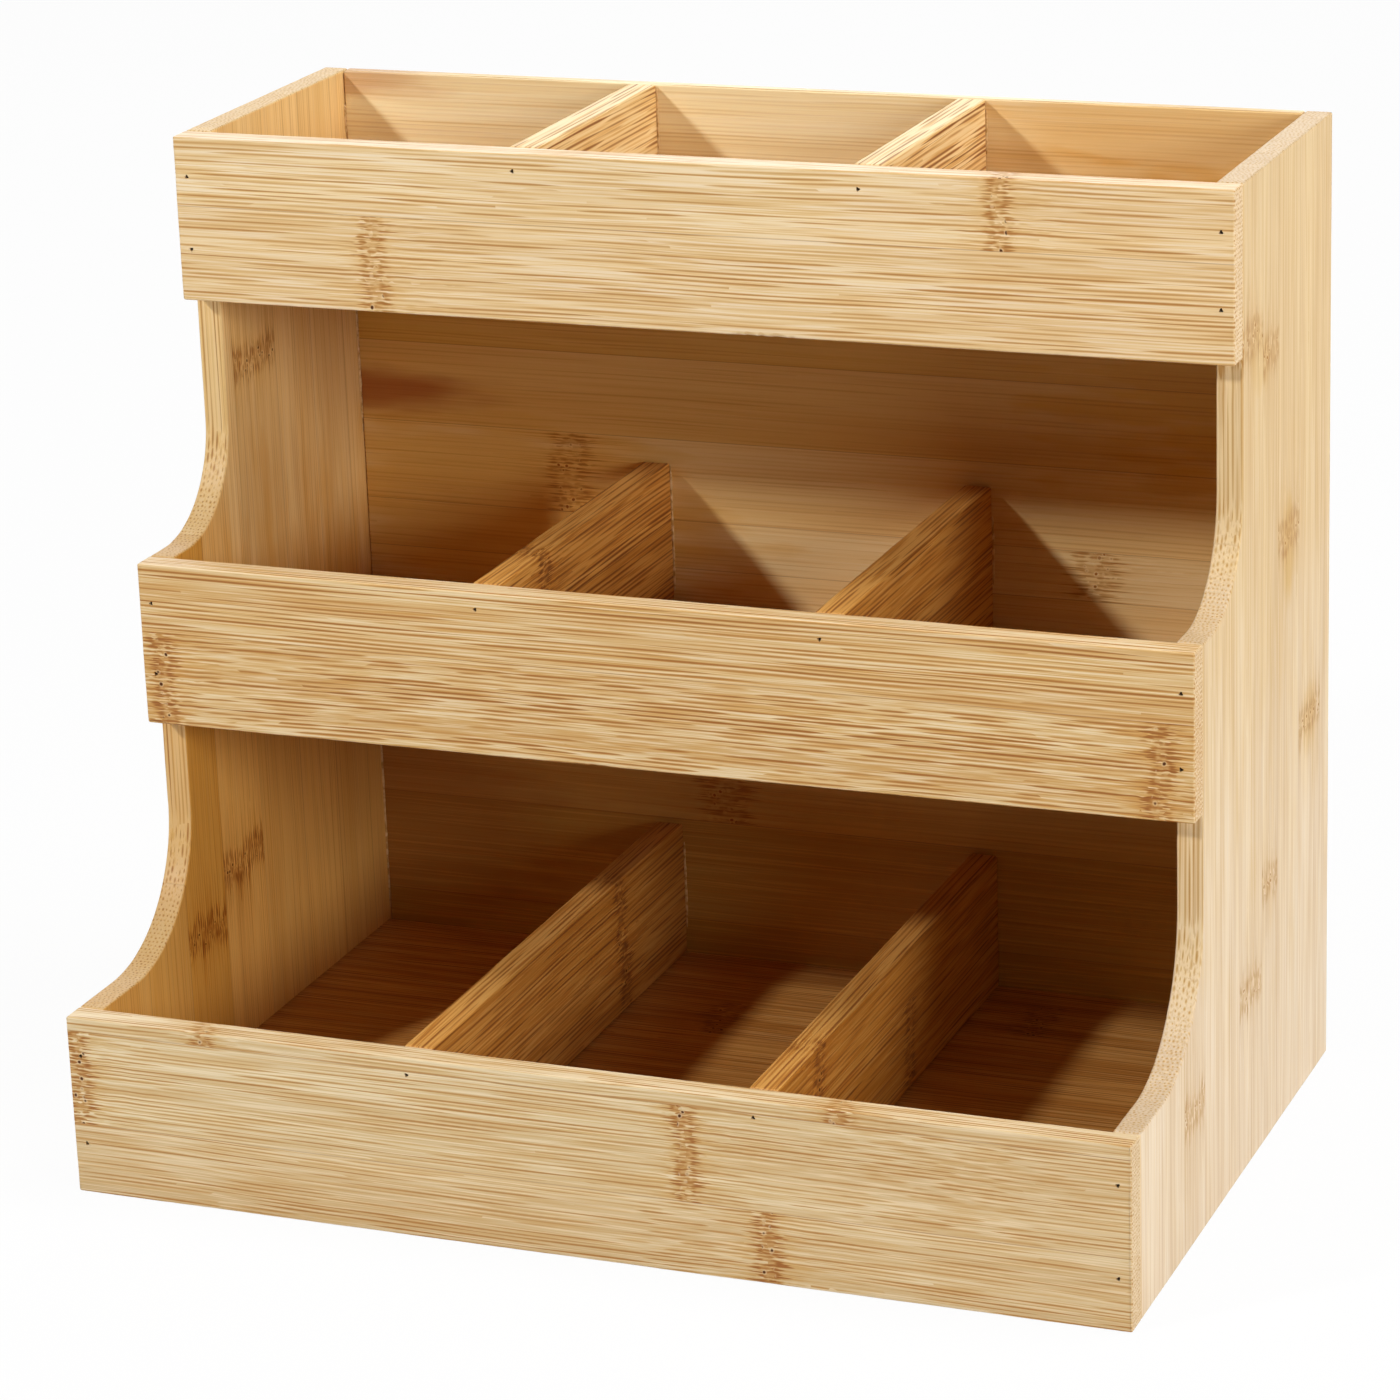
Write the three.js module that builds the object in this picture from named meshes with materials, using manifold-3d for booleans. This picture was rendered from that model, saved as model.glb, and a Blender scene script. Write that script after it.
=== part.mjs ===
// Three-tier tea bag organizer of bamboo boards, in millimetres, +Z up.
// The origin is at the middle of the base; the lowest fascia faces -Y.
import * as THREE from 'three';
import { mergeVertices } from 'three/addons/utils/BufferGeometryUtils.js';
import Module from 'manifold-3d';

const wasm = await Module();
wasm.setup();

// Overall sizes
const width = 310; // across the fascias
const depth = 200; // from the lowest fascia's face to the rear
const lowFasciaHeight = 53;
const fasciaHeight = 47.5; // middle and top fascias
const openingHeight = 67.25; // clear height from one fascia's rim to the next fascia
const middleStep = 60; // middle fascia's face behind the lowest one's
const topStep = 39; // top fascia's face behind the middle one's

// Boards
const fasciaThickness = 8;
const sideThickness = 7.5;
const dividerThickness = 8.5;
const floorThickness = 4;
const backThickness = 4;
const arrisRadius = 1.2; // eased long edges of the fascias and of the dividers' tops
const arrisSegments = 4;
const weldTolerance = 1e-4; // corners closer than this are one corner

// Coves in the front edges of the sides
const lowerCoveRadius = 40;
const upperCoveRadius = 30;
const coveSegments = 14;

// Floors, let into grooves in the sides
const lowFloorRise = 7; // underside of the bottom floor above the base
const upperFloorRise = 0.5; // underside of the other floors above their fascia's lower edge
const housingDepth = 2.5;
const glueGap = 0.2; // between glued faces

// Brads, driven through the fascias
const bradLength = 20;
const bradHeadRadius = 0.75;
const bradHeadHeight = 0.8;
const bradShankRadius = 0.55;
const bradPointLength = 2;
const bradSides = 8;
const bradSink = 0.5; // head below the fascia's face
const bradClearance = 0.3;
const endBradDrop = 11.5; // upper end brad below the rim
const endBradRise = 15; // lower end brad above the fascia's lower edge
const dividerBradDrop = 5; // divider brad below the rim

// Levels and setbacks of the three tiers, from the base and from the lowest fascia's face
const middleBase = lowFasciaHeight + openingHeight;
const topBase = middleBase + fasciaHeight + openingHeight;
const tiers = [
  { name: 'bottom', front: 0, base: 0, height: lowFasciaHeight, floorRise: lowFloorRise },
  { name: 'middle', front: middleStep, base: middleBase, height: fasciaHeight, floorRise: upperFloorRise },
  { name: 'top', front: middleStep + topStep, base: topBase, height: fasciaHeight, floorRise: upperFloorRise },
];
const height = topBase + fasciaHeight;
const innerWidth = width - 2 * sideThickness;
const backFront = depth - backThickness; // the back panel's inner face
const dividerPitch = (innerWidth + dividerThickness) / 3; // three equal compartments
const dividerCentres = { left: -dividerPitch / 2, right: dividerPitch / 2 };
const sideCentres = { left: -(width - sideThickness) / 2, right: (width - sideThickness) / 2 };

const finishes = {
  fascia: { color: 0xe3bf85, roughness: 0.5, metalness: 0 },
  side: { color: 0xe6c48f, roughness: 0.5, metalness: 0 },
  divider: { color: 0xd3a864, roughness: 0.52, metalness: 0 },
  floor: { color: 0xc79a58, roughness: 0.55, metalness: 0 },
  back: { color: 0xd6ad6a, roughness: 0.52, metalness: 0 },
  brad: { color: 0x4a3a2c, roughness: 0.45, metalness: 0.8 },
};

// A closed geometry as a solid that can be cut.
function toSolid(geometry) {
  const bare = geometry.clone();
  bare.deleteAttribute('normal');
  bare.deleteAttribute('uv');
  const merged = mergeVertices(bare, weldTolerance);
  const vertProperties = new Float32Array(merged.getAttribute('position').array);
  const triVerts = new Uint32Array(merged.getIndex().array);
  return new wasm.Manifold(new wasm.Mesh({ numProp: 3, vertProperties, triVerts }));
}

function toGeometry(solid) {
  const { vertProperties, triVerts } = solid.getMesh();
  const geometry = new THREE.BufferGeometry();
  geometry.setAttribute('position', new THREE.BufferAttribute(vertProperties, 3));
  geometry.setIndex(new THREE.BufferAttribute(triVerts, 1));
  const flat = geometry.toNonIndexed();
  flat.computeVertexNormals();
  return flat;
}

function cut(geometry, cutters) {
  return toGeometry(cutters.reduce((solid, cutter) => solid.subtract(toSolid(cutter)), toSolid(geometry)));
}

// A box between two corners.
function boxBetween(low, high) {
  const size = new THREE.Vector3().subVectors(high, low);
  const middle = new THREE.Vector3().addVectors(low, high).multiplyScalar(0.5);
  return new THREE.BoxGeometry(size.x, size.y, size.z).translate(middle.x, middle.y, middle.z);
}

// A profile drawn in (y, z), run along X and centred on it.
function runAcross(profile, length, curveSegments) {
  const geometry = new THREE.ExtrudeGeometry(profile, { depth: length, bevelEnabled: false, curveSegments });
  geometry.translate(0, 0, -length / 2);
  const toYZX = new THREE.Matrix4().makeBasis(
    new THREE.Vector3(0, 1, 0),
    new THREE.Vector3(0, 0, 1),
    new THREE.Vector3(1, 0, 0),
  );
  return geometry.applyMatrix4(toYZX);
}

// A board's section from (0, 0) to (across, up), its top corners rounded, and its foot too if asked.
function boardSection(across, up, easeFoot) {
  const ease = Math.min(arrisRadius, across / 4, up / 4);
  const foot = easeFoot ? ease : 0;
  const section = new THREE.Shape();
  section.moveTo(foot, 0);
  section.lineTo(across - foot, 0);
  if (easeFoot) section.absarc(across - ease, ease, ease, -Math.PI / 2, 0);
  section.lineTo(across, up - ease);
  section.absarc(across - ease, up - ease, ease, 0, Math.PI / 2);
  section.lineTo(ease, up);
  section.absarc(ease, up - ease, ease, Math.PI / 2, Math.PI);
  section.lineTo(0, foot);
  if (easeFoot) section.absarc(ease, ease, ease, Math.PI, 1.5 * Math.PI);
  return section;
}

// The straight hole that a brad sits in, from outside the fascia's face to past the brad's point.
function bradHole(x, y, z) {
  const radius = bradHeadRadius + bradClearance;
  const start = y - bradSink;
  const end = y + bradSink + bradLength + bradClearance;
  const hole = new THREE.CylinderGeometry(radius, radius, end - start, bradSides);
  return hole.translate(x, (start + end) / 2, z);
}

// Where the six brads of a tier go, in the tier's own frame.
function bradPlaces(tier) {
  const places = [];
  for (const [hand, x] of Object.entries(sideCentres)) {
    places.push({ name: `${hand}_upper`, x, z: tier.height - endBradDrop, into: 'side', hand });
    places.push({ name: `${hand}_lower`, x, z: endBradRise, into: 'side', hand });
  }
  for (const [hand, x] of Object.entries(dividerCentres)) {
    places.push({ name: `divider_${hand}`, x, z: tier.height - dividerBradDrop, into: 'divider', hand });
  }
  return places;
}

function named(name, geometry, finish) {
  const mesh = new THREE.Mesh(geometry, new THREE.MeshStandardMaterial(finishes[finish]));
  mesh.name = name;
  return mesh;
}

// Fascia across the whole width, with a hole at each brad.
function makeFascia(tier) {
  const board = runAcross(boardSection(fasciaThickness, tier.height, true), width, arrisSegments);
  return named(`fascia_${tier.name}`, cut(board, bradPlaces(tier).map((b) => bradHole(b.x, 0, b.z))), 'fascia');
}

// Floor between the fascia and the back panel, its ends in the sides' grooves.
function makeFloor(tier) {
  const halfWidth = innerWidth / 2 + housingDepth - glueGap;
  const low = new THREE.Vector3(-halfWidth, fasciaThickness + glueGap, tier.floorRise);
  const high = new THREE.Vector3(halfWidth, backFront - tier.front - glueGap, tier.floorRise + floorThickness);
  return named(`floor_${tier.name}`, boxBetween(low, high), 'floor');
}

// Divider standing on the floor, its top level with the fascia's rim.
function makeDivider(tier, hand) {
  const x = dividerCentres[hand];
  const start = fasciaThickness + glueGap;
  const end = backFront - tier.front - glueGap;
  const foot = tier.floorRise + floorThickness + glueGap;
  const board = new THREE.ExtrudeGeometry(boardSection(dividerThickness, tier.height - foot, false), {
    depth: end - start,
    bevelEnabled: false,
    curveSegments: arrisSegments,
  });
  board.rotateX(Math.PI / 2).translate(x - dividerThickness / 2, end, foot);
  const holes = bradPlaces(tier)
    .filter((b) => b.into === 'divider' && b.hand === hand)
    .map((b) => bradHole(b.x, 0, b.z));
  return named(`divider_${tier.name}_${hand}`, cut(board, holes), 'divider');
}

// Pin with a small head, a straight shank and a point, driven along +Y.
function makeBrad(tier, place) {
  const profile = [
    [0, 0],
    [bradHeadRadius, 0],
    [bradHeadRadius, bradHeadHeight],
    [bradShankRadius, bradHeadHeight],
    [bradShankRadius, bradLength - bradPointLength],
    [0, bradLength],
  ].map(([r, along]) => new THREE.Vector2(r, along));
  const brad = named(`brad_${tier.name}_${place.name}`, new THREE.LatheGeometry(profile, bradSides), 'brad');
  brad.position.set(place.x, bradSink, place.z);
  return brad;
}

// Stepped outline of a side: behind each fascia, then back along its rim and up a cove to the next one.
function sideOutline() {
  const edges = tiers.map((tier) => tier.front + fasciaThickness + glueGap);
  const rims = tiers.map((tier) => tier.base + tier.height);
  const outline = new THREE.Shape();
  outline.moveTo(edges[0], 0);
  [lowerCoveRadius, upperCoveRadius].forEach((wanted, i) => {
    const radius = Math.min(wanted, edges[i + 1] - edges[i], openingHeight);
    const centre = { y: edges[i + 1] - radius, z: rims[i] + radius };
    outline.lineTo(edges[i], rims[i]);
    outline.lineTo(centre.y, rims[i]);
    outline.absarc(centre.y, centre.z, radius, -Math.PI / 2, 0);
  });
  outline.lineTo(edges[2], height);
  outline.lineTo(depth, height);
  outline.lineTo(depth, 0);
  return outline;
}

// Side with a groove for each floor and a hole for each brad in its front edge.
function makeSide(hand) {
  const centre = sideCentres[hand];
  const inwards = -Math.sign(centre);
  const innerFace = centre + (inwards * sideThickness) / 2;
  const board = runAcross(sideOutline(), sideThickness, coveSegments).translate(centre, 0, 0);
  const cutters = [];
  for (const tier of tiers) {
    const bottom = innerFace - inwards * housingDepth;
    const past = innerFace + inwards * housingDepth;
    const groove = [Math.min(bottom, past), Math.max(bottom, past)];
    const grooveBase = tier.base + tier.floorRise;
    const low = new THREE.Vector3(groove[0], tier.front, grooveBase - glueGap);
    const high = new THREE.Vector3(groove[1], backFront, grooveBase + floorThickness + glueGap);
    cutters.push(boxBetween(low, high));
    for (const b of bradPlaces(tier)) {
      if (b.into === 'side' && b.hand === hand) cutters.push(bradHole(b.x, tier.front, tier.base + b.z));
    }
  }
  return named(`side_${hand}`, cut(board, cutters), 'side');
}

// Thin panel between the sides, over the whole height.
function makeBack() {
  const half = innerWidth / 2 - glueGap;
  const low = new THREE.Vector3(-half, backFront, 0);
  const high = new THREE.Vector3(half, depth, height);
  return named('back_panel', boxBetween(low, high), 'back');
}

// One tier's own pieces, placed at its setback and level.
function makeTier(tier) {
  const group = new THREE.Group();
  group.position.set(0, tier.front, tier.base);
  group.add(makeFascia(tier), makeFloor(tier));
  for (const hand of Object.keys(dividerCentres)) group.add(makeDivider(tier, hand));
  for (const place of bradPlaces(tier)) group.add(makeBrad(tier, place));
  return group;
}

const organizer = new THREE.Group();
organizer.position.y = -depth / 2;
organizer.add(makeSide('left'), makeSide('right'), makeBack());
for (const tier of tiers) organizer.add(makeTier(tier));

export default organizer;
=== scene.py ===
import math

import bmesh
import bpy
from mathutils import Matrix, Vector, noise


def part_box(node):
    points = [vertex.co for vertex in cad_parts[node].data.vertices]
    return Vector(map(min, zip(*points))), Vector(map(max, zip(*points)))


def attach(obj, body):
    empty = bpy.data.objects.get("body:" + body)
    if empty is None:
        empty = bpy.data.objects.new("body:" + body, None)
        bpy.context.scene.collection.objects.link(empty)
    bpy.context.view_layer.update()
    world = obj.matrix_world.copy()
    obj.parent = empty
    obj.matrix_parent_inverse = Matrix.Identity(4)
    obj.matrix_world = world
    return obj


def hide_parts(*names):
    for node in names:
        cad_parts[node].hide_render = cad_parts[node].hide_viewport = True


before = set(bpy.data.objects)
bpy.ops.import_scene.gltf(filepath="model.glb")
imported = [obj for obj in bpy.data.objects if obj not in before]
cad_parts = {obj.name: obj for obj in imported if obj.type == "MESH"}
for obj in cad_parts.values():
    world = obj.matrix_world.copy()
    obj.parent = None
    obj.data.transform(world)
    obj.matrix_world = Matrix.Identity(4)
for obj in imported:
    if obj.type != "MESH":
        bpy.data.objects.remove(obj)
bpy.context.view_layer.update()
scene = bpy.context.scene
scene.view_settings.view_transform = "Standard"
mm = 0.001
print("frame loaded:", len(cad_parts), "boards and brads")


def tint(red, green, blue):
    # a colour as it looks on screen, 0 to 255, in the linear values that the shaders take
    linear = [((c / 255 + 0.055) / 1.055) ** 2.4 for c in (red, green, blue)]
    return (*linear, 1.0)


def addObject(name, data):
    piece = bpy.data.objects.new(name, data)
    scene.collection.objects.link(piece)
    return piece


# Node helpers: a socket is linked, anything else is set as the input's own value.
def feed(tree, socket, value):
    if isinstance(value, bpy.types.NodeSocket):
        tree.links.new(value, socket)
    else:
        socket.default_value = value


def put(tree, kind, feeds=None, **settings):
    node = tree.nodes.new(kind)
    for name, value in settings.items():
        setattr(node, name, value)
    for key, value in (feeds or {}).items():
        feed(tree, node.inputs[key], value)
    return node


def calc(tree, operation, *terms, clamp=False):
    feeds = dict(enumerate(terms))
    return put(tree, "ShaderNodeMath", feeds, operation=operation, use_clamp=clamp).outputs[0]


def times(tree, first, second, clamp=False):
    return calc(tree, "MULTIPLY", first, second, clamp=clamp)


def minus(tree, first, second):
    return calc(tree, "SUBTRACT", first, second)


def most(tree, first, second):
    return calc(tree, "MAXIMUM", first, second)


def plus(tree, value, factor, base):
    # base, with so many times the value on top
    return calc(tree, "MULTIPLY_ADD", value, factor, base)


def between(tree, share, first, second):
    return plus(tree, minus(tree, second, first), share, first)


def ease(tree, value, start, end, low=0.0, high=1.0):
    # a smooth step of the value, from low at start to high at end
    feeds = {0: value, 1: start, 2: end, 3: low, 4: high}
    return put(tree, "ShaderNodeMapRange", feeds, interpolation_type="SMOOTHSTEP").outputs[0]


def blendColours(tree, share, first, second, kind="MIX"):
    node = put(tree, "ShaderNodeMix", data_type="RGBA", blend_type=kind)
    feed(tree, node.inputs[0], share)
    feed(tree, node.inputs[6], first)
    feed(tree, node.inputs[7], second)
    return node.outputs[2]


def stained(tree, share, first, second):
    # like a mix, but in steps of ratio, as a stain deepens wood, so that the colour stays full in between
    rest = minus(tree, 1.0, share)
    first = put(tree, "ShaderNodeGamma", {"Color": first, "Gamma": rest}).outputs[0]
    second = put(tree, "ShaderNodeGamma", {"Color": second, "Gamma": share}).outputs[0]
    return blendColours(tree, 1.0, first, second, "MULTIPLY")


def vectorOf(tree, operation, feeds):
    return put(tree, "ShaderNodeVectorMath", feeds, operation=operation).outputs


def stretched(tree, vector, factors):
    return vectorOf(tree, "MULTIPLY", {0: vector, 1: factors})[0]


def shifted(tree, vector, *offsets):
    for offset in offsets:
        vector = vectorOf(tree, "ADD", {0: vector, 1: offset})[0]
    return vector


def split(tree, vector):
    return put(tree, "ShaderNodeSeparateXYZ", {0: vector}).outputs


def joined(tree, *parts):
    return put(tree, "ShaderNodeCombineXYZ", dict(enumerate(parts))).outputs[0]


def noiseOf(tree, vector, detail=2.0, roughness=0.5):
    feeds = {"Vector": vector, "Scale": 1.0, "Detail": detail, "Roughness": roughness}
    return put(tree, "ShaderNodeTexNoise", feeds).outputs[0]


def lineNoise(tree, along, detail=1.0, roughness=0.4):
    feeds = {"W": along, "Scale": 1.0, "Detail": detail, "Roughness": roughness}
    return put(tree, "ShaderNodeTexNoise", feeds, noise_dimensions="1D").outputs[0]


def drawOf(tree, number):
    return put(tree, "ShaderNodeTexWhiteNoise", {"W": number}, noise_dimensions="1D").outputs[0]


def addSockets(tree, kind, *names, side="INPUT"):
    for name in names:
        tree.interface.new_socket(name, in_out=side, socket_type="NodeSocket" + kind)


def ends(tree):
    # sockets that a node group is given, and those that it makes
    return put(tree, "NodeGroupInput").outputs, put(tree, "NodeGroupOutput").inputs


def newMaterial(name):
    material = bpy.data.materials.new(name)
    material.use_nodes = True
    tree = material.node_tree
    return material, tree, tree.nodes["Principled BSDF"]


# Camera, at the photograph's viewing angle: a long lens, to the right of the front and above it.
viewpoint = {
    "place": Vector((0.497594, -1.234995, 0.572146)),
    "right": Vector((0.930983, 0.363502, -0.033725)),
    "up": Vector((-0.085329, 0.306496, 0.948040)),
    "lens": 128.19,
    "sensor": 36.0,
}


def placeCamera():
    data = bpy.data.cameras.new("camera")
    data.lens = viewpoint["lens"]
    data.sensor_width = viewpoint["sensor"]
    right = viewpoint["right"].normalized()
    back = right.cross(viewpoint["up"]).normalized()
    up = back.cross(right)
    turn = Matrix((right, up, back)).transposed().to_4x4()
    camera = addObject("camera", data)
    camera.matrix_world = Matrix.Translation(viewpoint["place"]) @ turn
    scene.camera = camera


# Studio light: a small key from the upper left front, softboxes above, panels at the right and behind,
# a dim room.
studio = {
    "middle": Vector((0, 0, 0.14)),
    "lamps": {
        "keyLamp": {"from": Vector((-1.63, -1.96, 1.66)), "distance": 3.04, "size": 0.28, "power": 44.5},
        "overhead": {"from": Vector((-0.1, -0.1, 1.0)), "distance": 1.6, "size": 1.0, "power": 5.0},
        "rightSoftbox": {"from": Vector((0.48, 0.13, 0.87)), "distance": 1.6, "size": 0.9, "power": 14.0},
        "rightPanel": {"from": Vector((0.84, -0.48, 0.26)), "distance": 3.0, "size": 1.0, "power": 34.5},
        "farRightPanel": {"from": Vector((0.96, -0.08, 0.26)), "distance": 1.6, "size": 0.9, "power": 1.8},
        "rearPanel": {"from": Vector((-0.4, 1.0, 0.55)), "distance": 2.0, "size": 1.4, "power": 8.0},
    },
    "roomStrength": 0.005,
    "glossStrength": 0.4,  # how white the room is in reflections
    "floorSpan": 12.0,
    "floorDrop": 0.2 * mm,
    "floorGlow": 0.95,  # share of the floor's look that is plain white, the rest takes the shadow
    "floorPaper": (0.86, 0.86, 0.86, 1.0),
}
white = (1.0, 1.0, 1.0, 1.0)


def setLights():
    for name, lamp in studio["lamps"].items():
        data = bpy.data.lights.new(name, "AREA")
        data.shape = "DISK"
        data.size = lamp["size"]
        data.energy = lamp["power"]
        away = lamp["from"].normalized()
        light = addObject(name, data)
        light.location = studio["middle"] + away * lamp["distance"]
        light.rotation_euler = away.to_track_quat("Z", "Y").to_euler()
    world = bpy.data.worlds.new("room")
    world.use_nodes = True
    tree = world.node_tree
    ray = put(tree, "ShaderNodeLightPath").outputs
    seen = most(tree, ray["Is Camera Ray"], ray["Is Transmission Ray"])
    gloss = times(tree, ray["Is Glossy Ray"], studio["glossStrength"])
    strength = most(tree, most(tree, seen, gloss), studio["roomStrength"])
    shown = tree.nodes["Background"]
    shown.inputs["Color"].default_value = white
    feed(tree, shown.inputs["Strength"], strength)
    scene.world = world


def layFloor():
    half = studio["floorSpan"] / 2
    level = -studio["floorDrop"]
    mesh = bpy.data.meshes.new("floor")
    corners = [(-half, -half, level), (half, -half, level), (half, half, level), (-half, half, level)]
    mesh.from_pydata(corners, [], [(0, 1, 2, 3)])
    floor = addObject("floor", mesh)
    material, tree, shader = newMaterial("paleFloor")
    tree.nodes.remove(shader)
    ray = put(tree, "ShaderNodeLightPath").outputs
    glossy = most(tree, ray["Is Camera Ray"], ray["Is Glossy Ray"])
    seen = times(tree, glossy, studio["floorGlow"])
    paper = put(tree, "ShaderNodeBsdfDiffuse", {"Color": studio["floorPaper"]})
    glow = put(tree, "ShaderNodeEmission", {"Color": white, "Strength": 1.0})
    mixed = put(tree, "ShaderNodeMixShader", {0: seen, 1: paper.outputs[0], 2: glow.outputs[0]})
    feed(tree, tree.nodes["Material Output"].inputs["Surface"], mixed.outputs[0])
    mesh.materials.append(material)


placeCamera()
setLights()
layFloor()
print("camera, lights and floor set")


# Bamboo figure, solid through a board: fine combed lines along the grain, and fibre bundles in rows, which
# show as tapered dashes on a face and as dots on an end. Place is (along, across, through) in metres.
figure = {
    "seedStrips": 20,  # strips from one board's seed to the next
    "stripShift": (0.377, 0.0131, 0.0077),  # moves the figure on from one strip to the next
    "wanderScale": (9.0, 35.0, 35.0),
    "wander": 2.4 * mm,
    "shortRun": 2.6,  # how many times shorter the lines are in a patch of short dashes
    "shortPitch": 0.95,
    "shortStir": 0.2,
    "shortFade": 0.2,
    "waveScale": (150.0, 260.0, 260.0),
    "wave": 0.7 * mm,
    "knotRun": 4.5 * mm,  # length of the short dashes in a knuckle
    "tangleScale": (260.0, 260.0, 260.0),
    "tangle": 0.9 * mm,
    "knotEmphasis": 0.5,
    "patchScale": (14.0, 200.0, 200.0),
    "patchWeight": (0.32, 0.62, 0.6, 1.0),  # levels of the patch noise, and the weight of the lines there
    "darkLevels": (0.48, 0.68),
    "lightLevels": (0.5, 0.34),
    "lightShare": 0.5,
    "bandScale": (4.0, 170.0, 170.0),
    "cloudScale": (10.0, 60.0, 60.0),
    "cloudShare": 0.6,
    "deepLevels": (0.6, 1.0),
    "endShare": 0.5,  # how far ends and rims take their own colours
    "rimShare": 0.65,
    "edgeContrast": 0.65,  # contrast on ends and rims of any board
    "bundleStray": 0.26,  # how far a bundle lies off the middle of its cell, in cells
    "bundleReach": 0.38,  # its largest radius across, in cells
    "bundleLeast": 0.03,
    "bundleLevels": (0.27, 0.64),
    "bundleHeart": 0.1,  # its evenly dark middle, as a share of its radius
    "bundleSpread": 700.0,  # sets the bundles far apart along the noise
    "bundleDepth": 2.2,  # how many times deeper than wide it is
    "bundleEnd": 0.8,  # least size on an end, as a share of the largest
    "bundleFaint": 0.3,  # strength of the faintest one
    "knotSwell": 0.3,
    "sheathReach": 1.5,
    "sheathLevels": (0.3, 0.6, 0.0, 0.85),
    "pitCell": 2.4 * mm,
    "pitChance": (0.2, 0.3),
    "pitSpine": (0.3, 0.7),
    "pitEdge": (0.14, 0.27),
    "lipEdge": (0.28, 0.42),
    "lipShare": 0.4,
    "seamEdge": (0.06 * mm, 0.22 * mm),
    "seamShare": 0.4,
    "seamOnEdge": 0.1,
    "endFacing": (0.25, 0.8),
    "rimFacing": (0.5, 0.95),
    "stainScale": (30.0, 160.0, 160.0),
    "stainRagged": 0.8,
    "stainEdge": (0.3, 1.0),
    "stainOffEdge": 0.6,  # how much paler a stain or painted shade is on ends and rims
    "warm": tint(226, 180, 94),
    # tint of the flames: partly a reddish mark, partly painted corner shade
    "flameAndCornerShade": tint(203, 160, 138),
    "gloss": 0.35,
    "roughness": {"ground": 0.44, "dark": 0.1, "bundle": 0.08, "pit": 0.4},
    "relief": {"grain": -1.6, "bundle": -0.5, "pit": -0.9, "seam": -0.6},
    "bump": {"Strength": 0.35, "Distance": 0.12 * mm},
}
figureNumbers = ("Run", "Pitch", "Spacing", "Contrast", "Knot contrast", "Strip contrast")
figureColours = ("Pale", "Deep", "Line", "Fibre", "Pit", "End grain", "Rim pale")
knotParts = ("Core", "Spine", "Halo", "Teeth", "Streaks")


def tangled(tree, amount, place, scale):
    # fibres thrown about, by up to the amount
    feeds = {"Vector": stretched(tree, place, scale), "Scale": 1.0, "Detail": 1.0}
    swirl = put(tree, "ShaderNodeTexNoise", feeds).outputs["Color"]
    swirl = shifted(tree, swirl, (-0.5, -0.5, -0.5))
    return vectorOf(tree, "SCALE", {0: swirl, "Scale": amount})[0]


def bundlesOf(tree, given, place, run):
    # a row's layers are shifted at random, a bundle strays in its cell and swells along its length
    along, across, through = split(tree, place)
    acrossCells = calc(tree, "DIVIDE", across, given["Spacing"])
    row = calc(tree, "FLOOR", acrossCells)
    throughCells = calc(tree, "ADD", calc(tree, "DIVIDE", through, given["Spacing"]), drawOf(tree, row))
    cell = joined(tree, row, calc(tree, "FLOOR", throughCells), 0.5)
    drawn = put(tree, "ShaderNodeTexWhiteNoise", {"Vector": cell}, noise_dimensions="3D").outputs["Color"]
    chance = put(tree, "ShaderNodeSeparateColor", {0: drawn}).outputs
    slim = 1 / figure["bundleDepth"]
    slim = plus(tree, given["End"], 1 - slim, slim)
    squares = []
    for cells, draw, factor in ((acrossCells, chance[0], 1.0), (throughCells, chance[1], slim)):
        stray = times(tree, minus(tree, draw, 0.5), figure["bundleStray"])
        offset = minus(tree, minus(tree, calc(tree, "FRACT", cells), 0.5), stray)
        offset = times(tree, offset, factor)
        squares.append(times(tree, offset, offset))
    away = calc(tree, "SQRT", calc(tree, "ADD", *squares))
    start = times(tree, chance[2], figure["bundleSpread"])
    runs = (run, times(tree, run, figure["shortRun"]), 1 / figure["knotRun"])
    longSwell, shortSwell, knotSwell = [lineNoise(tree, plus(tree, along, pace, start)) for pace in runs]
    swell = between(tree, given["Wave"], longSwell, shortSwell)
    swell = between(tree, given["Core"], swell, knotSwell)
    largest = figure["bundleReach"]
    reach = ease(tree, swell, *figure["bundleLevels"], figure["bundleLeast"], largest)
    reach = times(tree, reach, plus(tree, given["Core"], figure["knotSwell"], 1.0))
    reach = most(tree, reach, times(tree, given["End"], largest * figure["bundleEnd"]))
    bundle = ease(tree, away, times(tree, reach, figure["bundleHeart"]), reach, 1.0, 0.0)
    faint = figure["bundleFaint"]
    bundle = times(tree, bundle, plus(tree, chance[1], 1 - faint, faint))
    sheath = ease(tree, away, 0.0, times(tree, reach, figure["sheathReach"]), 1.0, 0.0)
    sheath = times(tree, sheath, ease(tree, swell, *figure["sheathLevels"]))
    return bundle, sheath


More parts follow.
